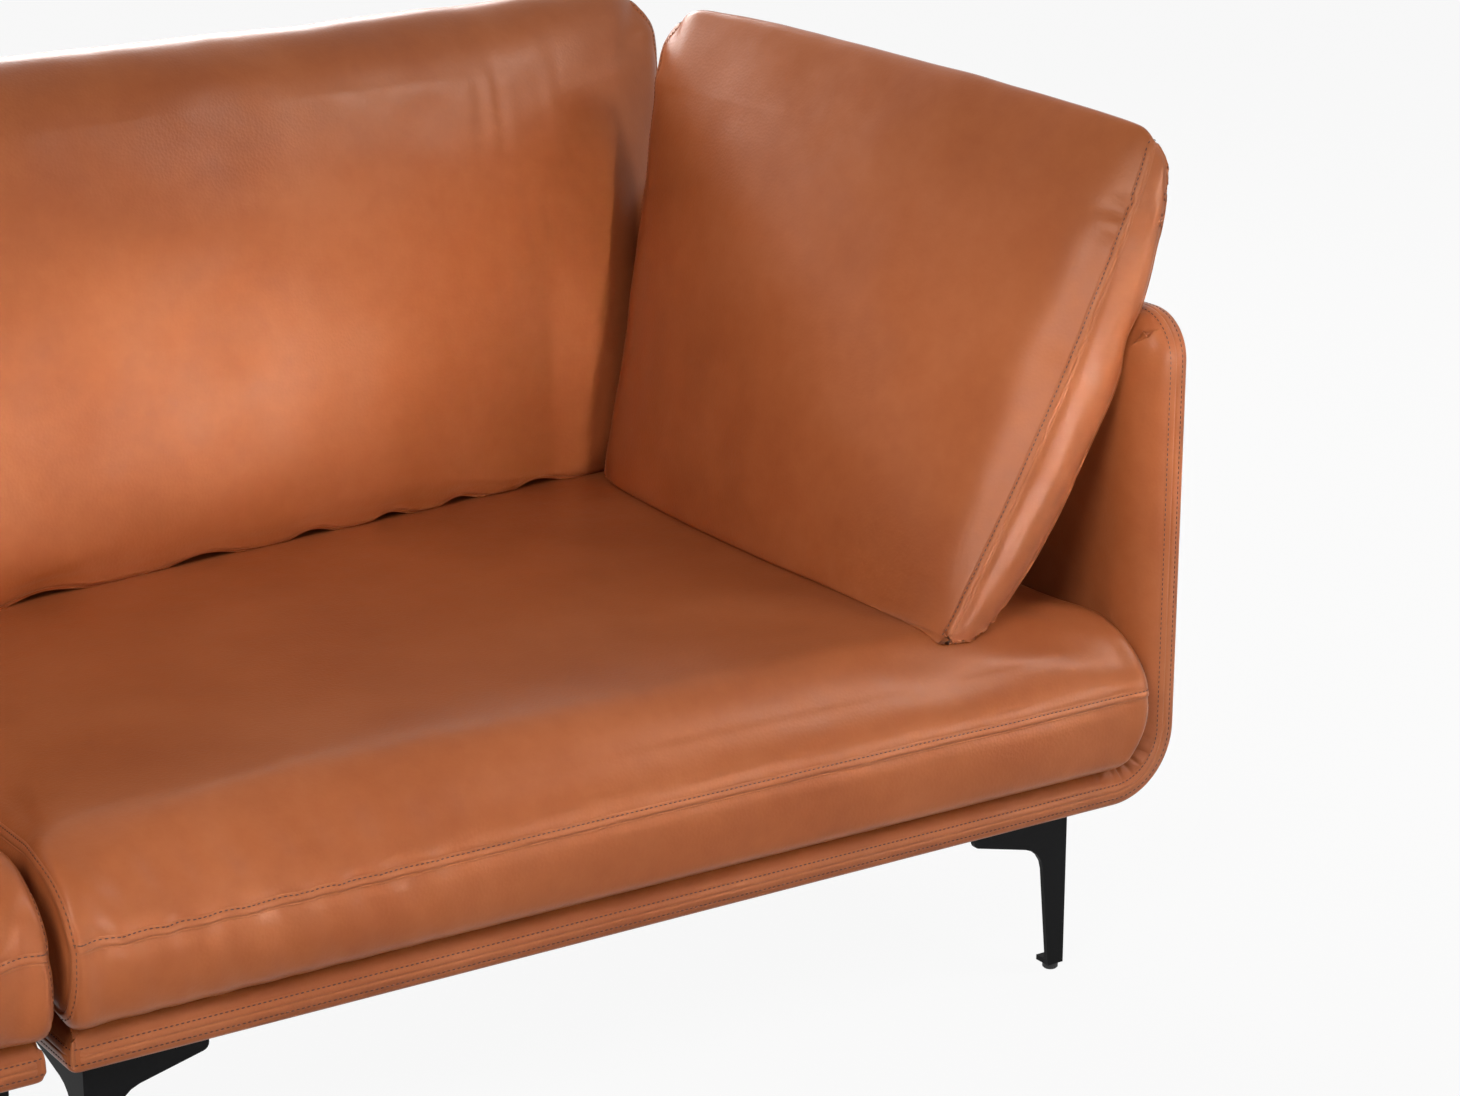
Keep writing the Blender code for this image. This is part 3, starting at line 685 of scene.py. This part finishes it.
def backPoint(u, v, t):
    width, height = back["width"], back["height"]
    near = min(u, width - u, height - v)
    rolled, thick = rollEdge(near, t, back)
    shift = rolled - near
    atStart, atEnd, atTop = u - near < 1e-6, width - u - near < 1e-6, height - v - near < 1e-6
    u += shift * atStart - shift * atEnd
    v -= shift * atTop
    radius = back["corner"]
    a, b = roundCorner(radius - u, v - height + radius)
    u, v = radius - a, height - radius + b
    a, b = roundCorner(u - width + radius, v - height + radius)
    u, v = width - radius + a, height - radius + b
    lean = math.radians(back["lean"])
    y = back["thickness"] - thick
    return corner + Vector((u, back["depth"] + y * math.cos(lean) + v * math.sin(lean),
                            back["lift"] - y * math.sin(lean) + v * math.cos(lean)))


backU = rimRun + stations((0.030, 0.060, 4), (0.060, back["width"] - 0.060, 24),
                          (back["width"] - 0.060, back["width"], 14))[1:]
backV = stations((0.0, back["height"] - 0.060, 12), (back["height"] - 0.060, back["height"], 14))
backT = [0.0, 0.003, 0.006, 0.0115, 0.017, 0.0225, 0.028, 0.034, 0.040, 0.045, 0.050]
backPiece = gridBlock("back", (len(backU) - 1, len(backV) - 1, len(backT) - 1))
shapeBlock(backPiece, lambda i, j, k: backPoint(backU[i], backV[j], backT[k]))
smoothOut(backPiece)
backSurface = surfaceOf(backPiece)
width, height, seam = back["width"], back["height"], back["seam"]
backPath = [backPoint(0.0, v, seam) for v in stations((short, height, 150))]
backPath += [backPoint(u, height, seam) for u in stations((0.0, width, 300))]
backPath += [backPoint(width, v, seam) for v in stations((height, short, 150))]
backSeams = sewSeam("backRim", backSurface, backPath, doubleSeam, doubleFold)
backRows = sewRows("backRows", backSurface, doubleRows(backPath))
dressCover("back_panel", "frame", backPiece, backSeams, backRows)


# Seat cushion: a crowned block with a full rounded front and a flat panel at each end.
# front, frontFoot and rear are radii in depth, top and foot in height
seat = {"low": (-0.006, -0.0270, 0.0484), "high": (1.0735, 0.7925, 0.1780), "edge": 0.012, "swell": 0.004,
        "front": 0.085, "frontFoot": 0.034, "rear": 0.030, "top": 0.072, "foot": 0.046,
        "crown": 0.0175, "crownPower": 0.7, "droop": 0.0125, "droopStart": 0.006, "droopDepth": 0.052,
        "armRun": 0.10, "tuck": 0.026, "tuckHeight": 0.045,
        "reach": 0.006, "reachDepth": 0.03, "reachMiddle": 0.115, "reachHeight": 0.07,
        "folds": 0.0034, "foldPitch": 0.040, "foldSlant": 0.35, "foldStray": 3, "foldDrift": 0.09,
        "foldRun": 0.42, "foldDepth": 0.07, "seamRow": 7, "fill": 0.85,
        "pull": {"depth": 0.0016, "width": 0.007, "pucker": 0.0012, "length": 0.030, "beat": 0.055,
                 "seed": 2.0},
        "air": {"pressure": 1.4, "slack": 0.005, "stiff": 0.6, "frames": 18, "cap": 0.009, "calm": 4}}
seatX = stations((0, 0.03, 5), (0.03, 0.97, 80), (0.97, 1, 5))
seatY = stations((0, 0.12, 16), (0.12, 0.94, 46), (0.94, 1, 5))
seatZ = stations((0, 1, 14))


def seatPoint(i, j, k):
    low, high = seat["low"], seat["high"]
    x, y, z = [l + (h - l) * s[n] for l, h, s, n in zip(low, high, (seatX, seatY, seatZ), (i, j, k))]
    a, b = 2 * seatX[i] - 1, 2 * seatY[j] - 1
    # profile: full nose in front, small radius at the back
    foot = z < low[2] + seat["foot"]
    deep = seat["rear"] if b > 0 else seat["frontFoot"] if foot else seat["front"]
    tall = seat["foot"] if foot else seat["top"]
    side = (y - high[1] + deep) / deep if b > 0 else (low[1] + deep - y) / deep
    rise = (low[2] + tall - z) / tall if foot else (z - high[2] + tall) / tall
    if side > 0 and rise > 0:
        share = max(side, rise) / math.hypot(side, rise)
        y = high[1] - deep + deep * side * share if b > 0 else low[1] + deep - deep * side * share
        z = low[2] + tall - tall * rise * share if foot else high[2] - tall + tall * rise * share
    # the seam round each end panel
    near = min(x - low[0], high[0] - x)
    middle = [(l + h) / 2 for l, h in zip(low, high)]
    if near < seat["edge"]:
        inset = seat["edge"] - math.sqrt(seat["edge"] ** 2 - (seat["edge"] - near) ** 2)
        y += (middle[1] - y) * inset / (high[1] - middle[1])
        z += (middle[2] - z) * inset / (high[2] - middle[2])
    if abs(a) > 0.9999:
        x += a * seat["swell"] * (1 - abs(b) ** 3) * (1 - abs(2 * seatZ[k] - 1) ** 3)
    # the end at the arm is tucked into the bend below, and bulges a little in front
    if a > 0:
        close = fading(high[0] - x, seat["armRun"]) ** 2
        x -= seat["tuck"] * close * fading(z - low[2], seat["tuckHeight"]) ** 1.5
        inFront = fading(max(y, 0.0), seat["reachDepth"])
        x += seat["reach"] * close * inFront * fading(abs(z - seat["reachMiddle"]), seat["reachHeight"])
    # soft slanting folds where the front meets the inner end
    if b < -0.5:
        stray = seat["foldStray"] * noise.noise((x / seat["foldDrift"], z / seat["foldDrift"], 7.0))
        wave = math.sin(2 * math.pi * (x + seat["foldSlant"] * z) / seat["foldPitch"] + stray)
        y += seat["folds"] * wave * fading(x, seat["foldRun"]) * fading(y - low[1], seat["foldDepth"])
    hanging = fading(max(y, seat["droopStart"]), seat["droopDepth"]) ** 1.3
    z -= seat["droop"] * (1 - seatZ[k]) ** 2 * hanging
    lift, power = (z - low[2]) / (high[2] - low[2]), seat["crownPower"]
    z += seat["crown"] * max(lift, 0.0) * (1 - a * a) ** power * (1 - b * b) ** power
    return corner + Vector((x, y, z))


nX, nY, nZ = len(seatX) - 1, len(seatY) - 1, len(seatZ) - 1
seatPiece = gridBlock("seat", (nX, nY, nZ))
seatCells = shapeBlock(seatPiece, seatPoint)
inflate(seatPiece, seat["air"], [n for n, cell in enumerate(seatCells) if cell[2] == 0])
for vertex in seatPiece.data.vertices:
    vertex.co.x = corner.x + ownSide(vertex.co.x - corner.x)
seatTable = {cell: n for n, cell in enumerate(seatCells)}


def endLoop(i):
    keys = [(i, j, nZ) for j in range(nY, -1, -1)] + [(i, 0, k) for k in range(nZ - 1, -1, -1)]
    keys += [(i, j, 0) for j in range(1, nY // 4)]
    return rowOf(seatPiece, seatTable, keys)


frontPath = rowOf(seatPiece, seatTable, [(i, 0, seat["seamRow"]) for i in range(nX + 1)])
innerLoop, armLoop = softened(endLoop(0), 2), softened(endLoop(nX), 2)
smoothOut(seatPiece)
for path in (frontPath, innerLoop, armLoop):
    drawIn(seatPiece, path, seat["pull"])
seatSurface = surfaceOf(seatPiece)
seatSeams, seatRows = sewLaps(seatSurface, [(frontPath, 1), (innerLoop, 1), (armLoop, -1)], openFold)
dressCover("seat_cushion", "seat_cushion_{side}_body", seatPiece, joinAll(seatSeams), seatRows)


# Loose pillows: one cover wraps over the top, a leaf-shaped gusset closes each end.
# x runs across, y up and z through the thickness, with the front seam of the gusset at 0

def pillowPoint(a, b, c, pillow):
    reach = max(abs(b), abs(c))
    power = pillow["power"] if b > 0 else pillow["footPower"]
    if reach > 0:
        share = reach / (abs(b) ** power + abs(c) ** power) ** (1 / power)
        b, c = b * share, c * share
    leaf = max(0.0, 1 - abs(b) ** power) ** (1 / power)
    middle = 1 - pillow["flat"] + pillow["flat"] * leaf
    full = max(0.0, 1 - a * a) ** pillow["fullness"][int(a > 0)]
    x = pillow["width"] / 2 * (1 + a)
    y = pillow["height"] / 2 * (1 + b) + pillow["rise"] * b * full
    z = pillow["edge"] / 2 * (middle + c) + pillow["crown"] * full * c * (1 - pillow["sag"] * b)
    if abs(a) > 0.9999:
        x += a * pillow["swell"] * (1 - reach * reach)
    # rounded outline: start and end, foot and top
    radius = pillow["corners"][int(a > 0)][int(b > 0)]
    side = (x - pillow["width"] + radius) / radius if a > 0 else (radius - x) / radius
    rise = (y - pillow["height"] + radius) / radius if b > 0 else (radius - y) / radius
    if side > 0 and rise > 0:
        share = max(side, rise) / math.hypot(side, rise)
        x = pillow["width"] - radius + radius * side * share if a > 0 else radius - radius * side * share
        y = pillow["height"] - radius + radius * rise * share if b > 0 else radius - radius * rise * share
    return x, y, z


# Soft dents of a filling that has been sat against
dentLook = {"wide": 0.11, "fine": 0.045, "fineShare": 0.4}


def makePillow(name, pillow, place):
    cells = pillow["cells"]
    piece = gridBlock(name, cells)
    table = shapeBlock(piece, lambda *cell: pillowPoint(
        *[2 * n / count - 1 for n, count in zip(cell, cells)], pillow))
    inflate(piece, pillow["air"])
    normals = [v.normal.copy() for v in piece.data.vertices]
    for vertex, normal in zip(piece.data.vertices, normals):
        dent = noise.noise(vertex.co / dentLook["wide"])
        dent += dentLook["fineShare"] * noise.noise(vertex.co / dentLook["fine"])
        vertex.co += normal * (pillow["dents"] * dent)
    for vertex in piece.data.vertices:
        vertex.co = place(*vertex.co)
    pick(piece)
    bpy.ops.object.mode_set(mode="EDIT")
    bpy.ops.mesh.select_all(action="SELECT")
    bpy.ops.mesh.normals_make_consistent(inside=False)
    bpy.ops.object.mode_set(mode="OBJECT")
    return piece, {cell: n for n, cell in enumerate(table)}


def gussetLoop(piece, table, cells, i):
    ny, nz = cells[1], cells[2]
    keys = [(i, 0, k) for k in range(nz, 0, -1)] + [(i, j, 0) for j in range(ny)]
    keys += [(i, ny, k) for k in range(nz)] + [(i, j, nz) for j in range(ny, -1, -1)]
    return rowOf(piece, table, keys)


# Makes a pillow, sews a gusset at each end and a lip along each row of cells in lips
def sewPillow(name, pillow, place, lips=()):
    piece, table = makePillow(name, pillow, place)
    cells = pillow["cells"]
    loops = [softened(gussetLoop(piece, table, cells, i), 2) for i in (0, cells[0])]
    lipPaths = [softened(rowOf(piece, table, keys), 1) for keys in lips]
    smoothOut(piece)
    for path in loops:
        drawIn(piece, path, pillow["pull"])
    surface = surfaceOf(piece)
    middle = sum((v.co for v in piece.data.vertices), Vector()) / len(piece.data.vertices)
    laps = [(path, faceSide(surface, path, middle)) for path in loops]
    seams, rows = sewLaps(surface, laps, lapFold)
    seams += [sewSeam("lip", surface, path, lipSeam, plainFold) for path in lipPaths]
    dressCover(name, name + "_{side}_body", piece, joinAll(seams), rows)


# Room that the pillows keep from what they lean and rest on
clearance = {"arm": 0.0008, "wall": 0.0008, "seat": 0.0006}


def onSeat(x, y, z):
    hit = seatSurface.ray_cast(corner + Vector((x, y, 0.5)), Vector((0, 0, -1)))[0]
    return max(z, hit.z - corner.z + clearance["seat"]) if hit else z


# Arm cushion: it leans more in front than at the rear and hooks over the arm
armPillow = {"width": 0.612, "height": 0.524, "edge": 0.054, "crown": 0.056, "power": 1.85, "footPower": 2.4,
             "flat": 1.0, "fullness": (1.0, 0.75), "sag": 0.1, "rise": 0.004, "swell": 0.006, "dents": 0.0022,
             "cells": (72, 58, 10), "corners": ((0.016, 0.030), (0.034, 0.055)), "start": 0.035,
             "footFront": 0.257, "footRear": 0.238, "leanFront": 28.3, "leanRear": 9.2, "bow": 0.012,
             "sink": 0.010, "seatTop": 0.1783, "module": 1.120, "fill": 0.75,
             "armInside": 1.072, "armTop": 0.466, "shoulder": 0.040,
             "pull": {"depth": 0.0016, "width": 0.005, "pucker": 0.0022, "length": 0.030, "beat": 0.044,
                      "seed": 5.0},
             "air": {"pressure": 0.5, "slack": 0.006, "stiff": 0.5, "frames": 18, "cap": 0.012, "calm": 5}}


def clearOfArm(x, z):
    inside, top = armPillow["armInside"] - clearance["arm"], armPillow["armTop"] + clearance["arm"]
    if x <= inside or z >= top:
        return x, z
    radius = armPillow["shoulder"]
    cx, cz = inside + radius, top - radius
    if x < cx and z > cz:
        away = math.hypot(x - cx, z - cz)
        if away < radius:
            x, z = cx + (x - cx) * radius / away, cz + (z - cz) * radius / away
        return x, z
    return (inside, z) if x - inside < top - z else (x, top)


def armPlace(across, up, depth):
    share = across / armPillow["width"]
    lean = math.radians(armPillow["leanFront"] + share * (armPillow["leanRear"] - armPillow["leanFront"]))
    rise = between(up / armPillow["height"])
    depth += armPillow["bow"] * 4 * rise * (1 - rise) * (1 - share)
    foot = armPillow["footFront"] + share * (armPillow["footRear"] - armPillow["footFront"])
    x = armPillow["module"] - foot + up * math.sin(lean) + depth * math.cos(lean)
    y = armPillow["start"] + across
    z = armPillow["seatTop"] - armPillow["sink"] + up * math.cos(lean) - depth * math.sin(lean)
    x, z = clearOfArm(x, z)
    return corner + Vector((x, y, onSeat(x, y, z)))


sewPillow("arm_cushion", armPillow, armPlace)

# Back cushion: it stands a little askew on the seat and leans on the back panel
backPillow = {"width": 1.036, "height": 0.526, "edge": 0.170, "crown": 0.050, "power": 2.25, "footPower": 4.0,
              "flat": 0.5, "fullness": (0.40, 0.30), "sag": 0.45, "rise": 0.004, "swell": 0.010,
              "dents": 0.0024, "cells": (94, 54, 16), "corners": ((0.020, 0.045), (0.030, 0.060)),
              "taper": 0.060, "fill": 0.75,
              "start": 0.565, "yaw": 6.0, "lean": 8.0, "sink": 0.012, "seatTop": 0.1783, "overhang": 0.006,
              "hollow": 0.012, "hollowX": (0.15, 0.8), "hollowRise": 0.20,
              "scallop": 0.014, "scallopPitch": 0.125, "scallopSway": 0.11, "scallopRise": 0.10,
              "turn": 0.006, "turnX": (0.50, 0.90), "turnFoot": 0.012, "turnRise": 0.26,
              "folds": 0.0032, "foldX": 0.81, "foldWide": 0.09, "foldPitch": 0.026, "foldStray": 5,
              "foldDrift": (0.2, 0.13), "foldPatch": (0.05, 0.09), "foldShare": 0.25,
              "besideX": 0.8285, "besideY": 0.6505, "besideSlope": 0.3,
              "pull": {"depth": 0.0014, "width": 0.005, "pucker": 0.0022, "length": 0.032, "beat": 0.045,
                       "seed": 9.0},
              "air": {"pressure": 0.6, "slack": 0.006, "stiff": 0.5, "frames": 18, "cap": 0.014, "calm": 5}}


def backPlace(across, up, depth):
    pad = backPillow
    lean = math.radians(pad["lean"])
    narrow = 1 - pad["taper"] * (1 - up / pad["height"])
    x = ownSide(across * narrow - pad["overhang"])
    front = between(1 - depth / pad["edge"])
    # the foot is lifted off the seat in scallops, with a hollow above it
    wave = math.sin(2 * math.pi * across / pad["scallopPitch"] + 2 * math.sin(across / pad["scallopSway"]))
    lift = pad["scallop"] * (0.5 + 0.5 * wave) ** 1.5 * fading(up, pad["scallopRise"]) ** 2
    start, span = pad["hollowX"]
    low = fading(up, pad["hollowRise"])
    depth += pad["hollow"] * math.sin(math.pi * between((x - start) / span)) * low * front
    # the right-hand end turns back behind the arm cushion
    near, far = pad["turnX"]
    turn = between((x - near) / (far - near))
    tall = between(up / pad["height"])
    amount = pad["turn"] * (1 - tall ** 3) + pad["turnFoot"] * fading(up, pad["turnRise"])
    depth += amount * turn * turn * (3 - 2 * turn) * front
    # upright folds where it turns
    crease = fading(abs(x - pad["foldX"]), pad["foldWide"])
    drift, patch = [noise.noise((x / wide, up / high, seed)) for (wide, high), seed in
                    ((pad["foldDrift"], 4.0), (pad["foldPatch"], 1.0))]
    bend = math.sin(2 * math.pi * x / pad["foldPitch"] + pad["foldStray"] * drift)
    depth += pad["folds"] * bend * crease * front * max(0.0, patch + pad["foldShare"])
    # it gives way beside the arm cushion and lies against the back panel
    y = (pad["start"] + across * math.tan(math.radians(pad["yaw"])) + up * math.sin(lean)
         + depth * math.cos(lean))
    z = pad["seatTop"] - pad["sink"] + up * math.cos(lean) - depth * math.sin(lean)
    y = max(y, pad["besideY"] - pad["besideSlope"] * max(0.0, pad["besideX"] - x))
    wall = back["depth"] + (z - back["lift"]) * math.tan(math.radians(back["lean"]))
    y = min(y, wall - clearance["wall"])
    return corner + Vector((x, y, onSeat(x, y, z) + lift * front))


footRow = [(i, 0, 2) for i in range(2, backPillow["cells"][0] - 3)]
sewPillow("back_cushion", backPillow, backPlace, [footRow])


# CAD pieces keep their shape and take the real finishes
cadFinishes = {"timber": pine, "webbing": webbing, "lining": dustCloth, "black_metal": powderCoat,
               "black_plastic": polyamide, "leather": leather}
for part in frame["record"]["subparts"]:
    for slot in frame["nodes"][part["node"]].material_slots:
        slot.material = cadFinishes[part["material_slot"]]
print("finishes on the CAD pieces")


# Studio: floor and backdrop are plain white where they are seen and give little light of their own
studio = {"floor": "#BDBCBA", "floorWhite": 0.93, "worldLight": 0.05, "backdrop": 0.94}


# 1 for a ray from the camera, straight, in a reflection or through glass
def seenRay(owner):
    rays = addNode(owner, "ShaderNodeLightPath", {}).outputs
    seen = addNode(owner, "ShaderNodeMath", {"operation": "MAXIMUM"},
                   {0: rays["Is Camera Ray"], 1: rays["Is Glossy Ray"]})
    through = addNode(owner, "ShaderNodeMath", {"operation": "MAXIMUM"},
                      {0: seen.outputs[0], 1: rays["Is Transmission Ray"]})
    return through.outputs[0]


bpy.ops.object.select_all(action="DESELECT")
bpy.ops.mesh.primitive_plane_add(size=40, location=(0, 0, 0))
floor = bpy.context.object
floor.name = "studio_floor"
paper = newMaterial("white_paper_floor")
white = addNode(paper, "ShaderNodeMath", {"operation": "MULTIPLY", 1: studio["floorWhite"]},
                {0: seenRay(paper)})
matt = addNode(paper, "Principled BSDF", {"Base Color": hexColor(studio["floor"]), "Roughness": 0.9})
glow = addNode(paper, "ShaderNodeEmission", {"Strength": 1.0})
blend = addNode(paper, "ShaderNodeMixShader", {},
                {0: white.outputs[0], 1: matt.outputs[0], 2: glow.outputs[0]})
addNode(paper, "Material Output", {}, {"Surface": blend.outputs[0]})
floor.data.materials.append(paper)

world = bpy.data.worlds.new("studio")
scene.world = world
world.use_nodes = True
strength = addNode(world, "ShaderNodeMapRange",
                   {"To Min": studio["worldLight"], "To Max": studio["backdrop"]}, {"Value": seenRay(world)})
addNode(world, "Background", {"Color": (1, 1, 1, 1)}, {"Strength": strength.outputs["Result"]})


# Power in watts, spread of the beam in degrees
def addLight(name, place, aim, size, power, spread=180, glossOnly=False):
    light = bpy.data.lights.new(name, "AREA")
    light.shape = "RECTANGLE"
    light.size, light.size_y = size
    light.energy = power
    light.spread = math.radians(spread)
    lamp = bpy.data.objects.new(name, light)
    lamp.location = place
    lamp.visible_camera = False
    lamp.visible_diffuse = not glossOnly
    lamp.rotation_euler = (Vector(aim) - Vector(place)).to_track_quat("-Z", "Y").to_euler()
    bpy.context.collection.objects.link(lamp)


addLight("key", (-2.2, -2.4, 2.6), (0.4, 0.0, 0.5), (1.4, 1.2), 84)
addLight("front", (0.4, -3.2, 2.2), (0.4, 0.0, 0.5), (1.4, 1.0), 9)
addLight("side", (2.7, -1.5, 2.5), (0.6, -0.2, 0.4), (0.7, 0.7), 26)
addLight("low", (2.0, -3.2, 0.9), (0.4, 0.0, 0.5), (1.2, 1.0), 2.5)
addLight("sill", (0.3, -3.5, 0.62), (0.5, -0.45, 0.29), (2.4, 0.15), 0.75, 8)  # along the seat's front
addLight("strip", (0.1, -3.5, 0.62), (0.42, 0.20, 0.56), (2.0, 0.2), 1.35, 8)  # along the back cushion
addLight("spot", (2.85, -2.95, 0.64), (0.45, 0.20, 0.55), (2.0, 0.35), 2.3, 24, glossOnly=True)  # its sheen
addLight("rear", (0.6, 3.0, 2.1), (0.4, 0.0, 0.5), (3.4, 1.2), 150)
addLight("rearLeft", (-2.4, 2.0, 1.5), (0.6, 0.0, 0.5), (1.4, 1.2), 24)

# The photograph's camera: focal length and width in its own pixels, tilt down and turn in degrees
photo = {"focal": 3500, "width": 1460, "place": (-0.9386, -2.8023, 1.3629), "tilt": 17.044, "turn": 33.55}
lens = bpy.data.cameras.new("camera")
lens.sensor_width = 36
lens.lens = photo["focal"] / photo["width"] * lens.sensor_width
camera = bpy.data.objects.new("camera", lens)
camera.location = photo["place"]
camera.rotation_euler = (math.radians(90 - photo["tilt"]), 0, math.radians(-photo["turn"]))
bpy.context.collection.objects.link(camera)
scene.camera = camera
print("studio ready")

bpy.context.view_layer.update()
